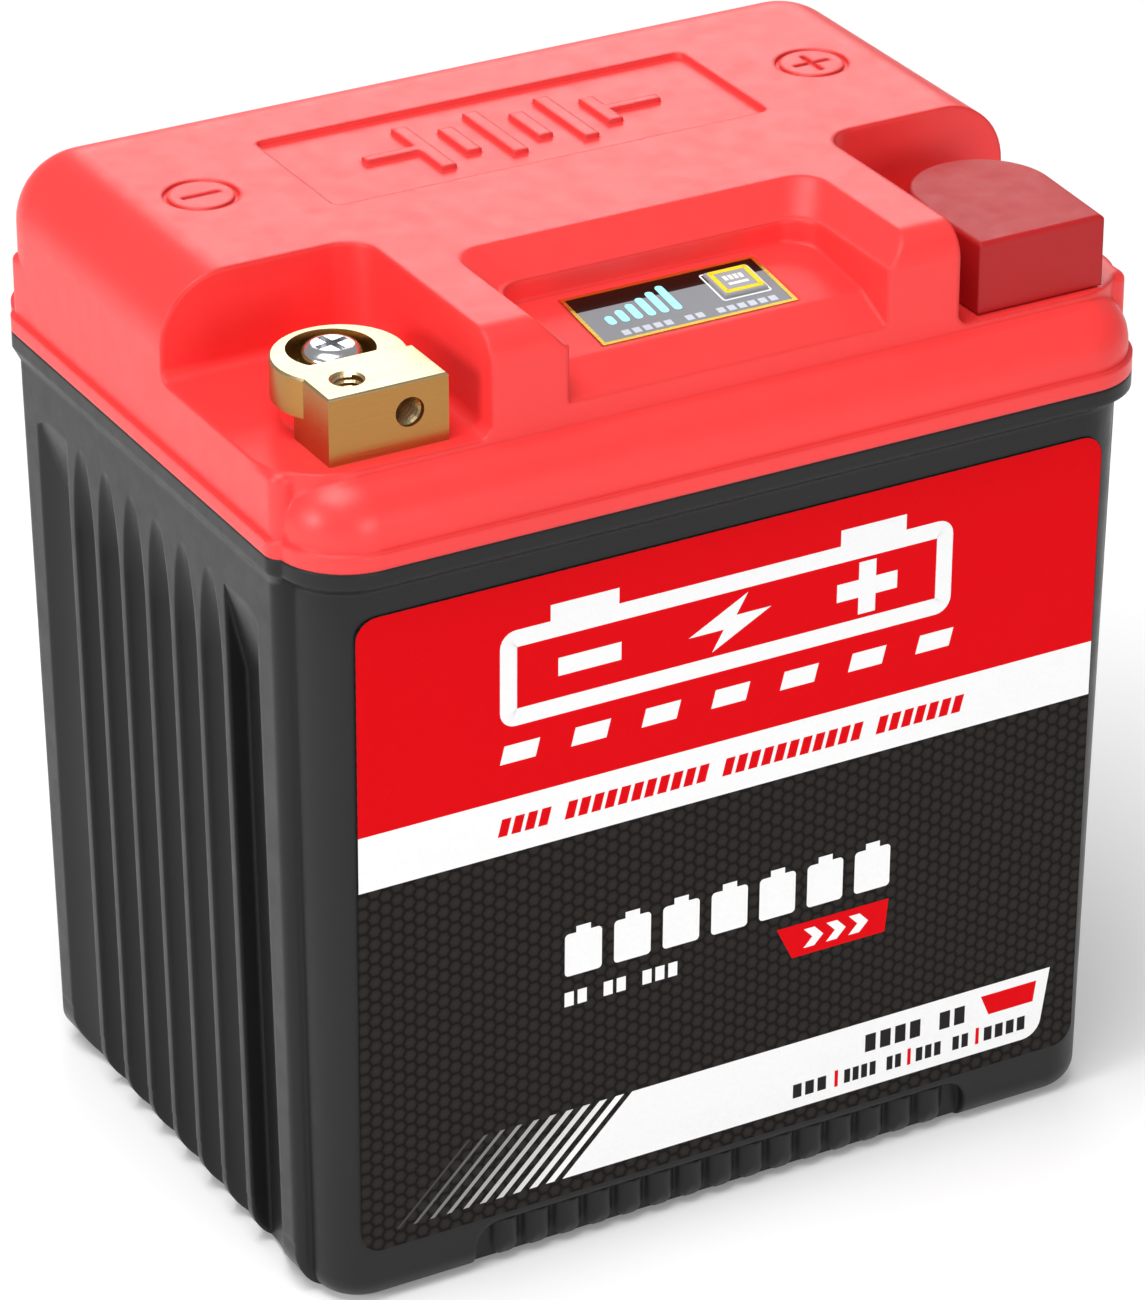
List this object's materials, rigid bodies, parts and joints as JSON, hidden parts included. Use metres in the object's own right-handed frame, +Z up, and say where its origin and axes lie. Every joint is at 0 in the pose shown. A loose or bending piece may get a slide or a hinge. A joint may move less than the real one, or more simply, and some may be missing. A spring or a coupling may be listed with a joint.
{
  "type": "motorcycle battery",
  "caption": "Upright block battery with a fluted case, a stepped cover, two screw terminals in corner recesses, a pull-off terminal cap and a charge display with a test button.",
  "frame": {"origin": "centre of the footprint, on the surface that the battery stands on", "axes": "+Z up, the label side faces -Y, the negative terminal at -X and the positive terminal at +X"},
  "size_m": [0.166, 0.126, 0.177],
  "materials": {
    "case_black": "fine moulded texture",
    "cover_red": "satin, fine moulded texture",
    "label_film": "printed film",
    "seal_rubber": "matt",
    "brass": "machined",
    "zinc_steel": "zinc plated",
    "cap_red": "soft, matt",
    "window_clear": "printed clear plate",
    "bezel_gilt": "gilt",
    "board_green": "solder mask",
    "light_guide": "clear, lit",
    "ribbon_grey": "flat cable",
    "plug_white": "moulded",
    "switch_black": "moulded",
    "button_pale": "moulded",
    "cell_sleeve": "shrink sleeve",
    "holder_black": "moulded",
    "nickel": "nickel plated",
    "copper": "tinned copper",
    "lead_black": "silicone",
    "lead_red": "silicone",
    "foam_black": "closed-cell foam",
    "insulation_pale": "fibre sheet",
    "aluminium": "extruded"
  },
  "bodies": {
    "battery": {"balance_plug": "plug_white", "balance_ribbon": "ribbon_grey", "board_screws": "zinc_steel", "board_standoffs": "holder_black", "board_transistors": "switch_black", "bottom_foam": "foam_black", "case": "case_black", "cell_01": "cell_sleeve", "cell_02": "cell_sleeve", "cell_03": "cell_sleeve", "cell_04": "cell_sleeve", "cell_05": "cell_sleeve", "cell_06": "cell_sleeve", "cell_07": "cell_sleeve", "cell_08": "cell_sleeve", "cell_09": "cell_sleeve", "cell_10": "cell_sleeve", "cell_11": "cell_sleeve", "cell_12": "cell_sleeve", "cover": "cover_red", "cover_seal": "seal_rubber", "display_bezel": "bezel_gilt", "display_board": "board_green", "display_light_guides": "light_guide", "display_plug": "plug_white", "display_ribbon": "ribbon_grey", "display_screws": "zinc_steel", "display_window": "window_clear", "front_label": "label_film", "heat_spreader": "aluminium", "holder_ties": "zinc_steel", "insulating_sheet": "insulation_pale", "lead_clamps": "copper", "lower_cell_holder": "holder_black", "lower_link_left": "nickel", "lower_link_right": "nickel", "lug_bolts": "zinc_steel", "middle_link": "nickel", "negative_busbar": "nickel", "negative_lead": "lead_black", "negative_lug": "copper", "negative_strap": "copper", "negative_terminal": "brass", "negative_terminal_screw": "zinc_steel", "positive_busbar": "nickel", "positive_lead": "lead_red", "positive_lug": "copper", "positive_strap": "copper", "positive_terminal": "brass", "positive_terminal_screw": "zinc_steel", "protection_board": "board_green", "side_foams": "foam_black", "terminal_inserts": "brass", "terminal_seals": "seal_rubber", "test_switch": "switch_black", "upper_cell_holder": "holder_black", "upper_foam": "foam_black"},
    "button": {"test_button": "button_pale"},
    "cap": {"positive_cap": "cap_red"}
  },
  "joints": [
    {"name": "test_button_press", "type": "slide", "parent": "battery", "child": "button", "axis": [0, 0.1392, -0.9903], "range_m": [0, 0.0004], "stiffness_N_per_m": 3000, "springref_m": -0.0001},
    {"name": "positive_cap_lift", "type": "slide", "parent": "battery", "child": "cap", "axis": [0, 0, 1], "range_m": [0, 0.025]}
  ]
}
